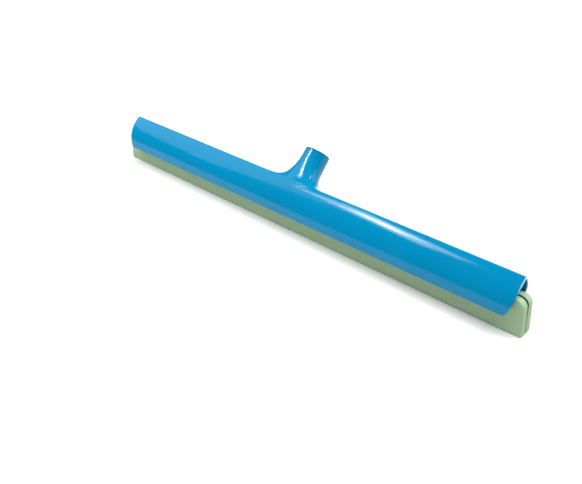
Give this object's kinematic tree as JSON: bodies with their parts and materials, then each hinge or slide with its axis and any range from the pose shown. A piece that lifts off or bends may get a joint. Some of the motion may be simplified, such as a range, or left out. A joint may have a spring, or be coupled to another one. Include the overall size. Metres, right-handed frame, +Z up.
{
  "type": "floor squeegee head",
  "caption": "Floor squeegee head: arched moulded hood with a slanted handle socket, over a slide-out carrier with a double foam blade.",
  "frame": {"origin": "bottom centre of the overall box, at the height of the blades' tips", "axes": "+X along the blades towards the end the carrier slides out of, +Y towards the handle side, +Z up"},
  "size_m": [0.62, 0.077, 0.0889],
  "materials": {
    "hood_plastic": "smooth glossy blue moulding",
    "rail_plastic": "dark grey extrusion",
    "foam": "matte grey-green closed-cell foam",
    "bar_steel": "brushed stainless strip",
    "rivet_metal": "plain"
  },
  "bodies": {
    "hood": {"hood": "hood_plastic"},
    "carrier": {"carrier_rail": "rail_plastic", "front_blade": "foam", "rear_blade": "foam", "front_clamp_bar": "bar_steel", "rear_clamp_bar": "bar_steel", "rivet_01": "rivet_metal", "rivet_02": "rivet_metal", "rivet_03": "rivet_metal", "rivet_04": "rivet_metal", "rivet_05": "rivet_metal", "rivet_06": "rivet_metal", "rivet_07": "rivet_metal", "rivet_08": "rivet_metal", "rivet_09": "rivet_metal", "rivet_10": "rivet_metal", "rivet_11": "rivet_metal", "rivet_12": "rivet_metal"}
  },
  "joints": [
    {"name": "carrier_slide", "type": "slide", "parent": "hood", "child": "carrier", "axis": [1, 0, 0], "range_m": [0, 0.62]}
  ]
}
